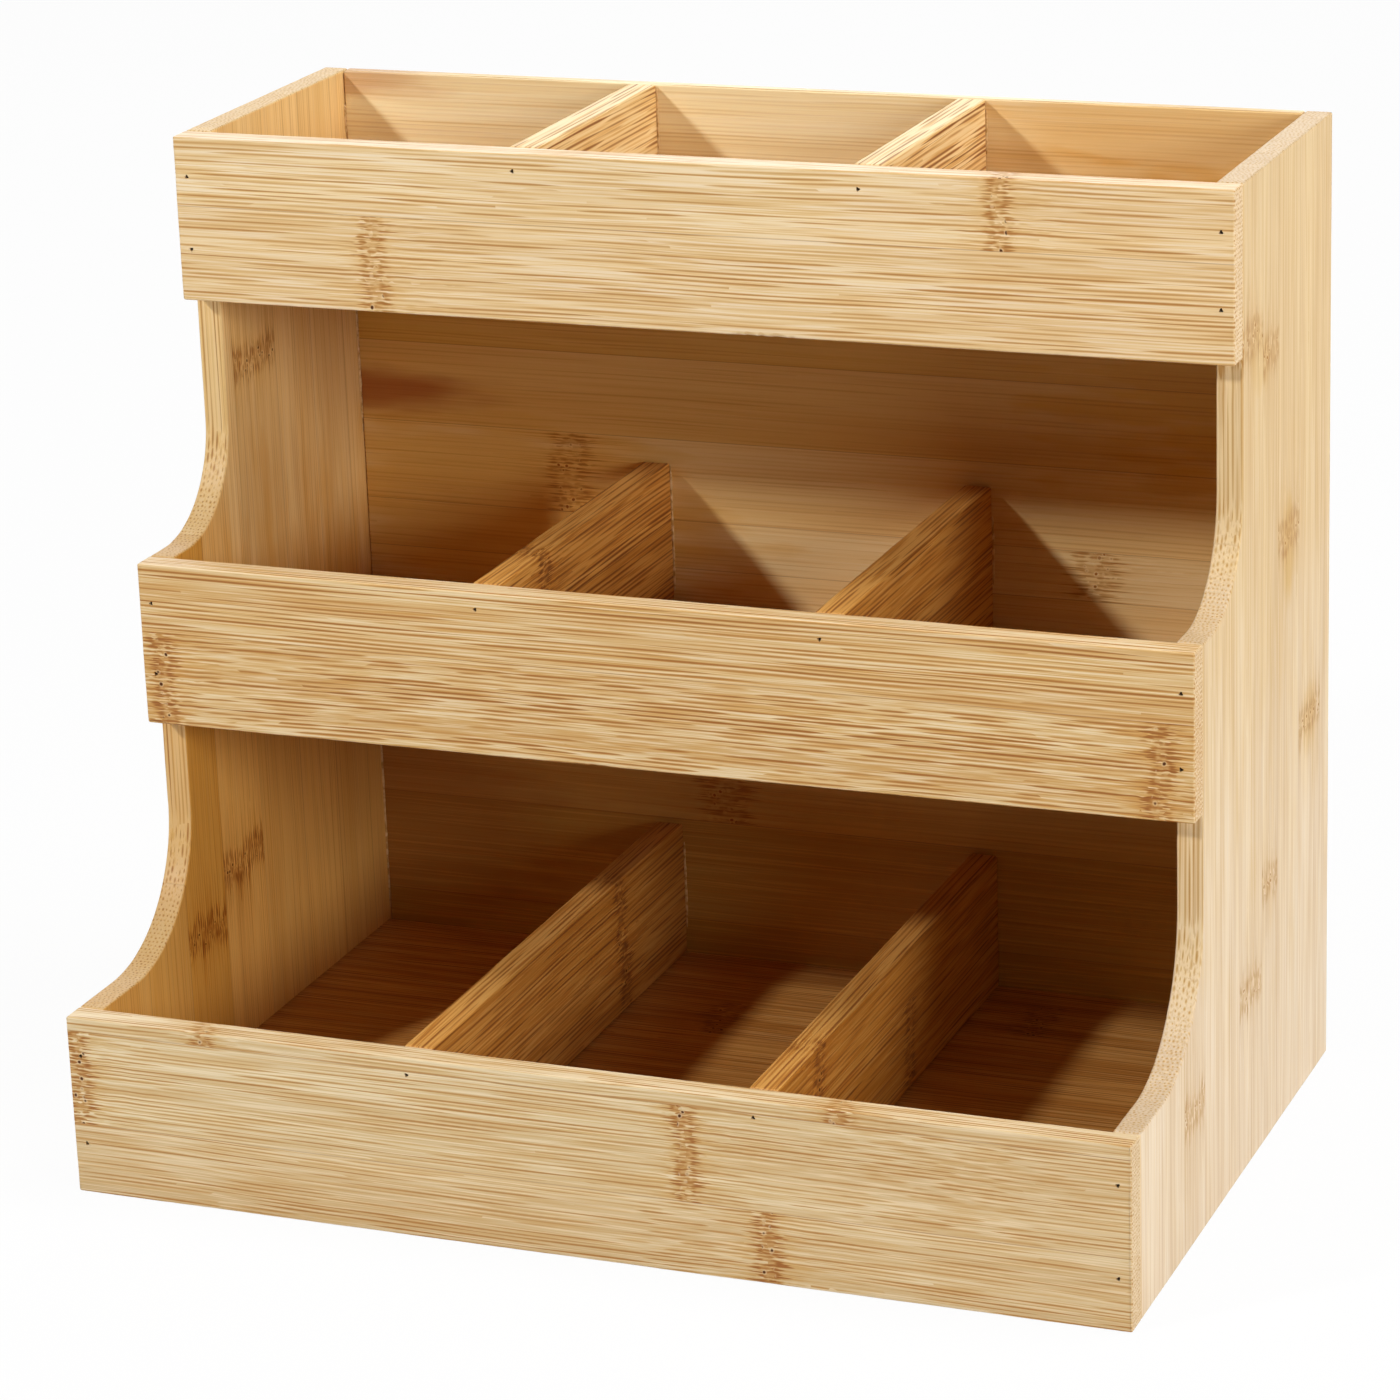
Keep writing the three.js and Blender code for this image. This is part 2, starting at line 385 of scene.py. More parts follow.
def buildFigure():
    group = bpy.data.node_groups.new("bambooFigure", "ShaderNodeTree")
    addSockets(group, "Vector", "Place")
    addSockets(group, "Float", "Strip", "Shade", *knotParts, "Wave", "Seam", "End", "Rim", "Warmth")
    addSockets(group, "Float", *figureNumbers)
    addSockets(group, "Color", *figureColours, "Warm")
    addSockets(group, "Color", "Colour", side="OUTPUT")
    addSockets(group, "Float", "Roughness", "Height", side="OUTPUT")
    given, made = ends(group)

    # each strip has its own stretch of cane; its fibres wander, ripple in a patch and tangle in a knuckle
    shift = vectorOf(group, "SCALE", {0: figure["stripShift"], "Scale": given["Strip"]})[0]
    own = shifted(group, given["Place"], shift)
    wander = noiseOf(group, stretched(group, own, figure["wanderScale"]), 1.5)
    wander = times(group, wander, figure["wander"])
    bend = joined(group, 0.0, wander, wander)
    short = given["Wave"]
    stir = most(group, times(group, short, figure["shortStir"]), given["Halo"])
    ripple = tangled(group, times(group, stir, figure["wave"]), own, figure["waveScale"])
    knot = tangled(group, times(group, given["Core"], figure["tangle"]), own, figure["tangleScale"])
    place = shifted(group, own, bend, ripple, knot)
    along, across, through = split(group, place)
    rimFace = put(group, "ShaderNodeMix", data_type="VECTOR")  # on a rim, lines and rows show as on a face
    feed(group, rimFace.inputs[0], calc(group, "GREATER_THAN", given["Rim"], 0.5))
    feed(group, rimFace.inputs[4], place)
    feed(group, rimFace.inputs[5], joined(group, along, through, across))
    place = rimFace.outputs[1]

    # combed lines, long or short
    pace = calc(group, "DIVIDE", 1.0, given["Pitch"])
    run = calc(group, "DIVIDE", 1.0, given["Run"])
    comb = stretched(group, place, joined(group, run, pace, pace))
    lines = noiseOf(group, comb, 1.5, 0.55)
    shortSize = (figure["shortRun"], figure["shortPitch"], figure["shortPitch"])
    dashes = noiseOf(group, stretched(group, comb, shortSize), 1.0, 0.5)
    grain = between(group, short, lines, dashes)
    patch = noiseOf(group, stretched(group, own, figure["patchScale"]), 2.0)
    weight = ease(group, patch, *figure["patchWeight"])
    weight = times(group, weight, plus(group, short, -figure["shortFade"], 1.0))
    dark = times(group, ease(group, grain, *figure["darkLevels"]), weight)
    light = ease(group, grain, *figure["lightLevels"])
    bundle, sheath = bundlesOf(group, given, place, run)

    # ground in soft bands, then highlights, lines and bundles over it
    band = noiseOf(group, stretched(group, place, figure["bandScale"]), 2.0)
    cloud = noiseOf(group, stretched(group, own, figure["cloudScale"]), 1.0)
    tone = ease(group, plus(group, cloud, figure["cloudShare"], band), *figure["deepLevels"])
    colour = blendColours(group, tone, given["Pale"], given["Deep"])
    # each strip's tone, times the given shade, which on the back and left side is partly painted shade
    stripTone = minus(group, drawOf(group, given["Strip"]), 0.5)
    stripTone = plus(group, stripTone, given["Strip contrast"], given["Shade"])
    colour = put(group, "ShaderNodeHueSaturation", {"Value": stripTone, "Color": colour}).outputs[0]
    colour = blendColours(group, times(group, given["End"], figure["endShare"]), colour, given["End grain"])
    colour = blendColours(group, times(group, given["Rim"], figure["rimShare"]), colour, given["Rim pale"])
    edge = most(group, given["End"], given["Rim"])
    contrast = between(group, edge, given["Contrast"], figure["edgeContrast"])
    contrast = most(group, contrast, times(group, given["Core"], given["Knot contrast"]))
    colour = blendColours(group, times(group, light, figure["lightShare"]), colour, given["Rim pale"])
    emphasis = plus(group, given["Core"], figure["knotEmphasis"], 1.0)
    shade = most(group, times(group, dark, emphasis), sheath)
    colour = stained(group, times(group, shade, contrast, clamp=True), colour, given["Line"])
    shade = times(group, bundle, emphasis)
    colour = stained(group, times(group, shade, contrast, clamp=True), colour, given["Fibre"])

    # knuckles: golden streaks, a comb of brown teeth to each side, pits in pale lips; seams last
    for part, stain in (("Streaks", "Line"), ("Teeth", "Fibre")):
        share = times(group, given[part], given["Knot contrast"], clamp=True)
        colour = stained(group, share, colour, given[stain])
    feeds = {"Vector": stretched(group, place, (1 / figure["pitCell"],) * 3), "Scale": 1.0}
    pits = put(group, "ShaderNodeTexVoronoi", feeds, voronoi_dimensions="3D").outputs
    chance = put(group, "ShaderNodeSeparateColor", {0: pits["Color"]}).outputs[0]
    drawn = ease(group, chance, *figure["pitChance"])
    drawn = times(group, drawn, ease(group, given["Spine"], *figure["pitSpine"]))
    lip = times(group, ease(group, pits["Distance"], *figure["lipEdge"], 1.0, 0.0), drawn)
    colour = blendColours(group, times(group, lip, figure["lipShare"]), colour, given["Pale"])
    pit = times(group, ease(group, pits["Distance"], *figure["pitEdge"], 1.0, 0.0), drawn)
    colour = blendColours(group, pit, colour, given["Pit"])
    seamShade = between(group, edge, figure["seamShare"], figure["seamOnEdge"])
    colour = blendColours(group, times(group, given["Seam"], seamShade), colour, given["Fibre"])
    # warm tint by the given warmth, which on the back, the left side and the fascias' right ends is partly
    # painted shade
    colour = blendColours(group, given["Warmth"], colour, given["Warm"], "MULTIPLY")
    feed(group, made["Colour"], colour)

    found = {"grain": grain, "dark": dark, "bundle": bundle, "pit": pit, "seam": given["Seam"]}
    rough = figure["roughness"]["ground"]
    for part in ("dark", "bundle", "pit"):
        rough = plus(group, found[part], figure["roughness"][part], rough)
    feed(group, made["Roughness"], rough)
    relief = 0.0
    for part, depth in figure["relief"].items():
        relief = plus(group, found[part], depth, relief)
    feed(group, made["Height"], relief)
    return group


# Mask across part of a board: a wavering core with its spine, a halo that runs farther along the grain, and
# teeth and streaks that taper away from the core.
mask = {
    "waverScale": (60.0, 160.0, 160.0),
    "blur": 0.1 * mm,
    "core": 0.25,  # where it starts to fade, in reaches
    "spine": (0.15, 0.4),
    "halo": 3.5,
    "haloLean": 0.6,  # how much slower the halo fades to one side
    "toothPitch": 0.54 * mm,
    "flankShift": 5.3,  # teeth differ from one flank to the other
    "combs": {"Teeth": (0.4, 0.3, 0.07), "Streaks": (0.38, 0.11, 0.14)},  # start, thinning and softness
    "combOnSpine": 0.3,
}


def buildMask():
    group = bpy.data.node_groups.new("grainMask", "ShaderNodeTree")
    addSockets(group, "Vector", "Place")
    addSockets(group, "Float", "At", "Low", "High", "Reach")
    addSockets(group, "Float", *knotParts, side="OUTPUT")
    given, made = ends(group)
    along, across, through = split(group, given["Place"])
    reach = given["Reach"]
    waver = noiseOf(group, stretched(group, given["Place"], mask["waverScale"]), 2.0)
    waver = times(group, minus(group, waver, 0.5), reach)
    away = calc(group, "ADD", minus(group, along, given["At"]), waver)
    longWay = most(group, times(group, away, mask["haloLean"]), times(group, away, -1.0))
    flank = times(group, calc(group, "SIGN", away), mask["flankShift"])
    rows = [calc(group, "DIVIDE", part, mask["toothPitch"]) for part in (across, through)]
    comb = noiseOf(group, joined(group, flank, *rows), 1.0)
    away = calc(group, "ABSOLUTE", away)
    above = ease(group, minus(group, across, given["Low"]), -mask["blur"], mask["blur"])
    below = ease(group, minus(group, given["High"], across), -mask["blur"], mask["blur"])
    within = times(group, above, below)
    share = calc(group, "DIVIDE", away, reach)
    slim = ease(group, share, *mask["spine"], 1.0, 0.0)
    shapes = {
        "Core": ease(group, away, times(group, reach, mask["core"]), reach, 1.0, 0.0),
        "Spine": slim,
        "Halo": ease(group, longWay, 0.0, times(group, reach, mask["halo"]), 1.0, 0.0),
    }
    offSpine = plus(group, slim, mask["combOnSpine"] - 1, 1.0)
    for name, (start, thinning, softness) in mask["combs"].items():
        over = minus(group, comb, plus(group, share, thinning, start))
        shapes[name] = times(group, ease(group, over, 0.0, softness), offSpine)
    for name, shape in shapes.items():
        feed(group, made[name], times(group, shape, within))
    return group


figureGroup = buildFigure()
maskGroup = buildMask()


def putGroup(tree, group, feeds):
    node = put(tree, "ShaderNodeGroup", node_tree=group)
    for key, value in feeds.items():
        feed(tree, node.inputs[key], value)
    return node.outputs


def grainMask(tree, place, along, low, high, reach):
    feeds = {"Place": place, "At": along, "Low": low, "High": high, "Reach": reach}
    return putGroup(tree, maskGroup, feeds)


def stripsOf(tree, board, across):
    # number, warmth and shade of the strip, on the back and left side partly painted shade, and how near
    # its seams are
    count = len(board["seams"]) + 1
    warms = board.get("stripWarmthAndShade", [0.0] * count)
    shades = board.get("stripToneAndShade", [1.0] * count)
    strip = float(board["seed"] * figure["seedStrips"])
    warmthAndShade = warms[0]
    shade = shades[0]
    seam = 0.0
    for i, line in enumerate(board["seams"]):
        past = calc(tree, "GREATER_THAN", across, line)
        strip = calc(tree, "ADD", past, strip)
        warmthAndShade = plus(tree, past, warms[i + 1] - warms[i], warmthAndShade)
        shade = plus(tree, past, shades[i + 1] - shades[i], shade)
        offset = calc(tree, "ABSOLUTE", minus(tree, across, line))
        seam = calc(tree, "ADD", ease(tree, offset, *figure["seamEdge"], 1.0, 0.0), seam)
    return strip, warmthAndShade, shade, seam


def patchesOf(tree, place, patches, share):
    # the share, or the strength of a ragged patch where that is more
    ragged = figure["stainRagged"]
    for centre, reach, strength in patches:
        offset = vectorOf(tree, "SUBTRACT", {0: place, 1: (*centre, 0.0)})[0]
        offset = stretched(tree, offset, (1 / reach[0], 1 / reach[1], 0.0))
        away = vectorOf(tree, "LENGTH", {0: offset})["Value"]
        fray = noiseOf(tree, stretched(tree, place, figure["stainScale"]), 2.0)
        away = calc(tree, "ADD", away, plus(tree, fray, ragged, -ragged / 2))
        share = most(tree, ease(tree, away, *figure["stainEdge"], strength, 0.0), share)
    return share


def makeBamboo(name, finish, board):
    # board: grain order such as "xzy" for (along, across, through), seed, seams, warmth and shade of each
    # strip between them (on the back and left side partly painted shade), knuckles (along, low, high),
    # waves of short dashes (along, low, high, reach), stains and painted shade ((along, across), reaches,
    # strength), red flames and painted corner shade the same way, outer face (axis, way, warmth)
    material, tree, shader = newMaterial(name)
    spot = put(tree, "ShaderNodeTexCoord").outputs["Object"]
    axes = dict(zip("xyz", split(tree, spot)))
    place = joined(tree, *(axes[axis] for axis in board["grain"]))
    strip, warmthAndShade, shade, seam = stripsOf(tree, board, axes[board["grain"][1]])
    knots = dict.fromkeys(knotParts, 0.0)
    for along, low, high in board["knuckles"]:
        near = grainMask(tree, place, along, low, high, finish["knuckleReach"])
        for part in knots:
            knots[part] = most(tree, near[part], knots[part])
    wave = 0.0
    for along, low, high, reach in board.get("waves", []):
        wave = most(tree, grainMask(tree, place, along, low, high, reach)["Core"], wave)
    facing = dict(zip("xyz", split(tree, put(tree, "ShaderNodeNewGeometry").outputs["Normal"])))
    end = ease(tree, calc(tree, "ABSOLUTE", facing[board["grain"][0]]), *figure["endFacing"])
    rim = ease(tree, calc(tree, "ABSOLUTE", facing[board["grain"][1]]), *figure["rimFacing"])
    warmthAndShade = patchesOf(tree, place, board.get("stainsAndShade", []), warmthAndShade)
    edge = most(tree, end, rim)
    warmthAndShade = times(tree, warmthAndShade, plus(tree, edge, -figure["stainOffEdge"], 1.0))
    inner = 1.0
    if "outer" in board:
        # the face turned away from the compartments has one even tone, free of the painted shade of the
        # inner faces
        axis, way, even = board["outer"]
        inner = calc(tree, "LESS_THAN", times(tree, facing[axis], way), 0.5)
        warmthAndShade = between(tree, inner, even, warmthAndShade)
        shade = between(tree, inner, 1.0, shade)
    feeds = {"Place": place, "Strip": strip, "Shade": shade, **knots, "Wave": wave, "Seam": seam,
             "End": end, "Rim": rim, "Warmth": warmthAndShade, "Warm": board.get("Warm", figure["warm"])}
    for key in figureNumbers + figureColours:
        feeds[key] = board.get(key, finish[key])
    bamboo = putGroup(tree, figureGroup, feeds)
    colour = bamboo["Colour"]
    # red-brown flames on the inner face only: partly a reddish mark, partly painted shade in the corner by
    # the left side
    if "flamesAndCornerShade" in board:
        flameAndCornerShade = times(tree, patchesOf(tree, place, board["flamesAndCornerShade"], 0.0), inner)
        colour = blendColours(tree, flameAndCornerShade, colour, figure["flameAndCornerShade"], "MULTIPLY")
    feed(tree, shader.inputs["Base Color"], colour)
    feed(tree, shader.inputs["Roughness"], bamboo["Roughness"])
    shader.inputs["Specular IOR Level"].default_value = figure["gloss"]
    bump = put(tree, "ShaderNodeBump", {"Height": bamboo["Height"], **figure["bump"]})
    feed(tree, shader.inputs["Normal"], bump.outputs[0])
    return material


# Board shapes: an outline drawn in the board's face, given thickness, with hand-eased edges.
def roundedOutline(corners, step, leastPieces=5):
    # corners: (point, radius) in order, all square; gives points with their inward directions
    outline = []
    count = len(corners)
    for i, (corner, radius) in enumerate(corners):
        before = (corners[i - 1][0] - corner).normalized()
        after = (corners[(i + 1) % count][0] - corner).normalized()
        centre = corner + (before + after) * radius
        turn = -before.x * after.y + before.y * after.x
        outward = 1 if turn > 0 else -1
        pieces = max(leastPieces, math.ceil(radius * math.pi / 2 / (step / 2)))
        for k in range(pieces + 1):
            angle = math.pi / 2 * k / pieces
            reach = after * math.cos(angle) + before * math.sin(angle)
            outline.append((centre - reach * radius, reach * outward))
        start = corner + after * radius
        following, nextRadius = corners[(i + 1) % count]
        end = following - after * nextRadius
        inward = Vector((-after.y, after.x))
        runs = max(1, math.ceil((end - start).length / step))
        for k in range(1, runs):
            outline.append((start.lerp(end, k / runs), inward))
    return outline


def flatOutline(node, axes, radius, step):
    low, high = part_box(node)
    p, q = ("xyz".index(a) for a in axes[:2])
    corners = ((low[p], low[q]), (high[p], low[q]), (high[p], high[q]), (low[p], high[q]))
    return roundedOutline([(Vector(corner), radius) for corner in corners], step)


def levels(node, axes):
    low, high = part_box(node)
    t = "xyz".index(axes[2])
    return low[t], high[t]


# Unevenness of an eased edge and of a chip in it. The steps set a board's two faces apart in the noise.
eased = {
    "seedStep": 1.7,
    "broad": 0.3,
    "broadStep": 7.3,
    "fine": 0.18,
    "fineStep": 3.1,
    "torn": 0.6,
}


def easedArris(point, face, edge):
    # radius of the eased edge at a point of the outline, a little uneven, larger at a chip
    def waver(length, depth):
        return noise.noise(Vector((point.x / length, point.y / length, depth)))

    broad = waver(edge["wave"], face * eased["broadStep"] + edge["seed"])
    fine = waver(edge["ripple"], face * eased["fineStep"] - edge["seed"])
    radius = edge["arris"] * (1 + eased["broad"] * broad + eased["fine"] * fine)
    for chip in edge["chips"]:
        near = (point - Vector(chip["at"])).length / chip["reach"]
        if chip["face"] == face and near < 1:
            torn = waver(edge["splinter"], edge["seed"])
            radius += chip["depth"] * (1 - near * near) * max(0, eased["torn"] + torn)
    return radius


def loftMesh(name, columns):
    # columns: lists of rings, each ring a list of points; every column becomes one closed body
    work = bmesh.new()
    for rings in columns:
        rows = [[work.verts.new(co) for co in ring] for ring in rings]
        count = len(rows[0])
        for lower, upper in zip(rows, rows[1:]):
            for i in range(count):
                j = (i + 1) % count
                work.faces.new((lower[i], lower[j], upper[j], upper[i]))
        work.faces.new(rows[0])
        work.faces.new(rows[-1])
    bmesh.ops.recalc_face_normals(work, faces=work.faces)
    mesh = bpy.data.meshes.new(name)
    work.to_mesh(mesh)
    work.free()
    return mesh


def layBoard(name, outline, low, high, axes, edge):
    # axes: outline's two axes, then the one through the thickness
    p, q, t = ("xyz".index(a) for a in axes)
    rings = []
    segments = edge["segments"]
    for face, level, towards in ((0, low, 1), (1, high, -1)):
        steps = range(segments + 1) if face == 0 else range(segments, -1, -1)
        for k in steps:
            angle = math.pi / 2 * k / segments
            ring = []
            for point, inward in outline:
                radius = easedArris(point, face, edge)
                spot = point + inward * radius * (1 - math.sin(angle))
                co = Vector((0, 0, 0))
                co[p] = spot.x
                co[q] = spot.y
                co[t] = level + towards * radius * (1 - math.cos(angle))
                ring.append(co)
            rings.append(ring)
    mesh = loftMesh(name, [rings])
    for polygon in mesh.polygons:
        polygon.use_smooth = True
    return addObject(name, mesh)


def flatten(piece):
    # leaves the modifiers' result as a plain mesh
    evaluated = piece.evaluated_get(bpy.context.evaluated_depsgraph_get())
    plain = bpy.data.meshes.new_from_object(evaluated)
    plain.name = piece.name
    piece.modifiers.clear()
    old = piece.data
    piece.data = plain
    bpy.data.meshes.remove(old)


def settle(piece, columns):
    # holes cut, and normals weighted towards the flat faces
    cutter = addObject("holes", loftMesh("holes", columns)) if columns else None
    if cutter:
        holes = piece.modifiers.new("holes", "BOOLEAN")
        holes.object = cutter
        holes.solver = "EXACT"
    flat = piece.modifiers.new("flatFaces", "WEIGHTED_NORMAL")
    flat.weight = 100
    flatten(piece)
    if cutter:
        bpy.data.objects.remove(cutter)


def makeBoard(node, name, family, board, columns=None, outline=None):
    axes = family["axes"]
    outline = outline or flatOutline(node, axes, family["cornerRadius"], family["step"])
    seed = board.get("edgeSeed", board["seed"] * eased["seedStep"])
    edge = {**family["edge"], "seed": seed, "chips": board.get("chips", [])}
    piece = layBoard(name, outline, *levels(node, axes), axes, edge)
    settle(piece, columns)
    grained = {**board, "grain": family["grain"]}
    material = makeBamboo(board.get("material", name + "Bamboo"), family["finish"], grained)
    piece.data.materials.clear()
    piece.data.materials.append(material)
    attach(piece, "root")
    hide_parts(node)


# Brads: small steel pins through the fascias, each in a torn three-cornered pit.
brads = {
    "headRadius": 0.55 * mm,
    "headHeight": 0.8 * mm,
    "crown": 0.3,  # height of the head's bevel, as a share of the head
    "crownFace": 0.78,  # radius of the flat inside it, as a share of the head's
    "shankRadius": 0.42 * mm,
    "pointLength": 2 * mm,
    "pointBlunt": 0.15,  # radius left at the point, as a share of the shank's
    "sides": 12,
    "seed": 7,
    "pitRadius": 0.56 * mm,
    "pitCorners": 3,
    "pitCorner": 0.26,  # how far the corners stand out, as a share of the pit's radius
    "pitFoot": 0.08,  # the same at the pit's foot
    "pitTurn": (90, 70, 3.3),  # how fast its turn changes along x and z, and the layer of noise
    "pitFlare": 1.3,
    "pitLip": 0.05 * mm,
    "slack": 0.08 * mm,
    "overcut": 0.4 * mm,  # how far the cutters reach past a board's face
    "pointRoom": 0.2 * mm,
    "look": {"scale": 2600.0, "detail": 3.0, "levels": (0.35, 0.7), "roughness": (0.2, 0.8, 0.35, 0.6),
             "metallic": 0.8, "colours": (tint(40, 28, 20), tint(84, 62, 44))},
}


def bradNodes(*words):
    # the brads that have all these words in their names
    nodes = {node: node.split("_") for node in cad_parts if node.startswith("brad_")}
    return sorted(node for node in nodes if all(word in nodes[node] for word in words))


def ringAt(centre, depth, radius, corner=0.0, twist=0.0):
    ring = []
    for k in range(brads["sides"]):
        angle = 2 * math.pi * k / brads["sides"]
        reach = radius * (1 + corner * math.cos(brads["pitCorners"] * (angle - twist)))
        ring.append((centre.x + reach * math.cos(angle), depth, centre.z + reach * math.sin(angle)))
    return ring


def pitHoles(nodes, face, rear):
    # a torn pit down to each head, then a straight hole out through the rear of the board
    wide = brads["headRadius"] + brads["slack"]
    narrow = brads["shankRadius"] + brads["slack"]
    corner = brads["pitCorner"]
    paceX, paceZ, layer = brads["pitTurn"]
    columns = []
    for node in nodes:
        low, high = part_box(node)
        middle = (low + high) / 2
        twist = math.pi * noise.noise(Vector((middle.x * paceX, middle.z * paceZ, layer)))
        shoulder = low.y + brads["headHeight"] + brads["slack"]
        columns.append([
            ringAt(middle, face - brads["overcut"], brads["pitRadius"] * brads["pitFlare"], corner, twist),
            ringAt(middle, face + brads["pitLip"], brads["pitRadius"], corner, twist),
            ringAt(middle, low.y, wide, brads["pitFoot"], twist),
            ringAt(middle, shoulder, wide),
            ringAt(middle, shoulder + brads["slack"], narrow),
            ringAt(middle, rear + brads["overcut"], narrow),
        ])
    return columns


def pinHoles(nodes, front):
    # straight holes for the shanks, in from a board's front edge
    narrow = brads["shankRadius"] + brads["slack"]
    columns = []
    for node in nodes:
        low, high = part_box(node)
        middle = (low + high) / 2
        depths = (front - brads["overcut"], high.y + brads["pointRoom"])
        columns.append([ringAt(middle, depth, narrow) for depth in depths])
    return columns


# Fascias: bamboo laid flat, two or three strips high, with bold fibre dashes and knuckles. The bottom and
# top ones are painted warmer towards their right ends: painted shade where the light falls off.
fascias = {
    "axes": "xzy",
    "grain": "xzy",
    "slot": "fascia_bamboo",
    "edge": {"arris": 0.6 * mm, "segments": 4, "wave": 14 * mm, "ripple": 2.5 * mm, "splinter": 1.3 * mm},
    "cornerRadius": 0.6 * mm,
    "step": 0.8 * mm,
    "finish": {
        "Pale": tint(232, 202, 151), "Deep": tint(217, 177, 117), "Line": tint(202, 147, 74),
        "Fibre": tint(146, 84, 28), "Pit": tint(84, 40, 8), "End grain": tint(226, 196, 154),
        "Rim pale": tint(246, 226, 190), "Contrast": 0.78, "Knot contrast": 0.75, "Strip contrast": 0.05,
        "Pitch": 0.43 * mm, "Spacing": 1.3 * mm, "Run": 42 * mm, "knuckleReach": 6.5 * mm,
    },
    "boards": {
        "bottom": {"seed": 1, "seams": [0.021, 0.049], "stripWarmthAndShade": [0.12, 0.0, 0.0],
                   "Pale": tint(229, 208, 168), "Deep": tint(215, 188, 142), "Line": tint(202, 159, 95),
                   "Contrast": 0.55, "Spacing": 1.15 * mm,
                   "knuckles": [(-0.152, 0.021, 0.049), (0.0305, 0.021, 0.049), (0.0535, 0.0, 0.021),
                                (-0.113, 0.049, 0.053), (0.0745, 0.049, 0.053)],
                   "waves": [(0.1, 0.021, 0.049, 0.05), (0.033, 0.0, 0.021, 0.022)],
                   # warmer towards the right end: painted shade where the light falls off
                   "stainsAndShade": [((0.155, 0.027), (0.14, 0.1), 0.14)]},
        "middle": {"seed": 2, "seams": [0.1477], "Run": 60 * mm,
                   "knuckles": [(-0.149, 0.12, 0.1477), (0.1455, 0.12, 0.1477)],
                   "waves": [(0.0, 0.12, 0.1477, 0.6)],
                   "chips": [{"at": (-0.0185, 0.12), "reach": 8 * mm, "depth": 0.6 * mm, "face": 0}]},
        "top": {"seed": 3, "seams": [0.2625], "stripWarmthAndShade": [0.06, 0.0],
                "Pale": tint(248, 222, 176), "Deep": tint(236, 205, 154), "Line": tint(215, 168, 100),
                "Rim pale": tint(250, 232, 207), "Contrast": 0.5, "Knot contrast": 0.5,
                "knuckles": [(-0.0945, 0.235, 0.2625), (0.09, 0.2625, 0.283)],
                # warmer towards the right end: painted shade where the light falls off
                "stainsAndShade": [((0.155, 0.25), (0.16, 0.1), 0.16)],
                "chips": [{"at": (0.0225, 0.235), "reach": 11 * mm, "depth": 1.0 * mm, "face": 0}]},
    },
}


def makeFascias():
    for tier, board in fascias["boards"].items():
        node = "fascia_" + tier
        columns = pitHoles(bradNodes(tier), *levels(node, fascias["axes"]))
        makeBoard(node, tier + "Fascia", fascias, board, columns)


# Sides: upright strips, two coves in the front edge.
sides = {
    "axes": "yzx",
    "grain": "zyx",
    "slot": "side_bamboo",
    "edge": {"arris": 0.6 * mm, "segments": 4, "wave": 16 * mm, "ripple": 4 * mm},
    "cornerRadius": 0.8 * mm,
    "coveRadii": (40 * mm, 30 * mm),
    "grooveSlack": 0.15 * mm,
    "grooveOvercut": 1 * mm,
    "step": 2.5 * mm,
    "finish": {
        "Pale": tint(241, 221, 194), "Deep": tint(230, 205, 173), "Line": tint(206, 170, 122),
        "Fibre": tint(172, 118, 50), "Pit": tint(178, 124, 58), "End grain": tint(192, 170, 144),
        "Rim pale": tint(228, 194, 142), "Contrast": 0.28, "Knot contrast": 0.42, "Strip contrast": 0.06,
        "Pitch": 0.5 * mm, "Spacing": 1.25 * mm, "Run": 70 * mm, "knuckleReach": 9 * mm,
    },
    "boards": {
        # left side: its golden colours partly stand in for golden light bounced inside; the warm patch low
        # on the inner face is painted shade of the lower compartments
        "left": {"seed": 5, "seams": [-0.0635, -0.0385, -0.014, 0.0125, 0.04, 0.064, 0.086],
                 "stripWarmthAndShade": [0.12, 0.8, 0.88, 0.12, 0.28, 0.28, 0.28, 0.28],
                 "stripToneAndShade": [1.0, 1.0, 0.97, 1.12, 1.0, 1.0, 1.0, 1.0], "outer": ("x", -1.0, 0.1),
                 "Warm": tint(228, 187, 94),
                 "Pale": tint(252, 223, 162), "Deep": tint(243, 208, 142), "Line": tint(218, 172, 98),
                 "Fibre": tint(148, 94, 42), "Pit": tint(112, 68, 28), "Contrast": 0.18,
                 "Knot contrast": 0.68,
                 "knuckles": [(0.212, 0.0125, 0.04), (0.066, -0.014, 0.0125), (0.052, -0.0385, -0.014)],
                 "stainsAndShade": [((0.05, 0.02), (0.18, 0.6), 0.75)]},
        "right": {"seed": 6, "seams": [-0.072, -0.0505, -0.0309, 0.004, 0.027, 0.0435, 0.066, 0.0895],
                  "Rim pale": tint(236, 208, 160), "Warm": tint(239, 213, 112), "Contrast": 0.27,
                  "Knot contrast": 0.55, "Pitch": 0.6 * mm,
                  "knuckles": [(0.2375, 0.004, 0.027), (0.23, 0.027, 0.0435), (0.173, 0.0435, 0.066),
                               (0.112, 0.066, 0.0895), (0.077, 0.027, 0.0435), (0.052, 0.004, 0.027),
                               (0.039, -0.0505, -0.0309)],
                  "stainsAndShade": [((0.29, 0.05), (0.27, 0.8), 0.46), ((0.23, 0.024), (0.022, 0.021), 0.6),
                             ((0.168, 0.055), (0.03, 0.012), 0.7), ((0.112, 0.078), (0.018, 0.013), 0.5)]},
    },
}


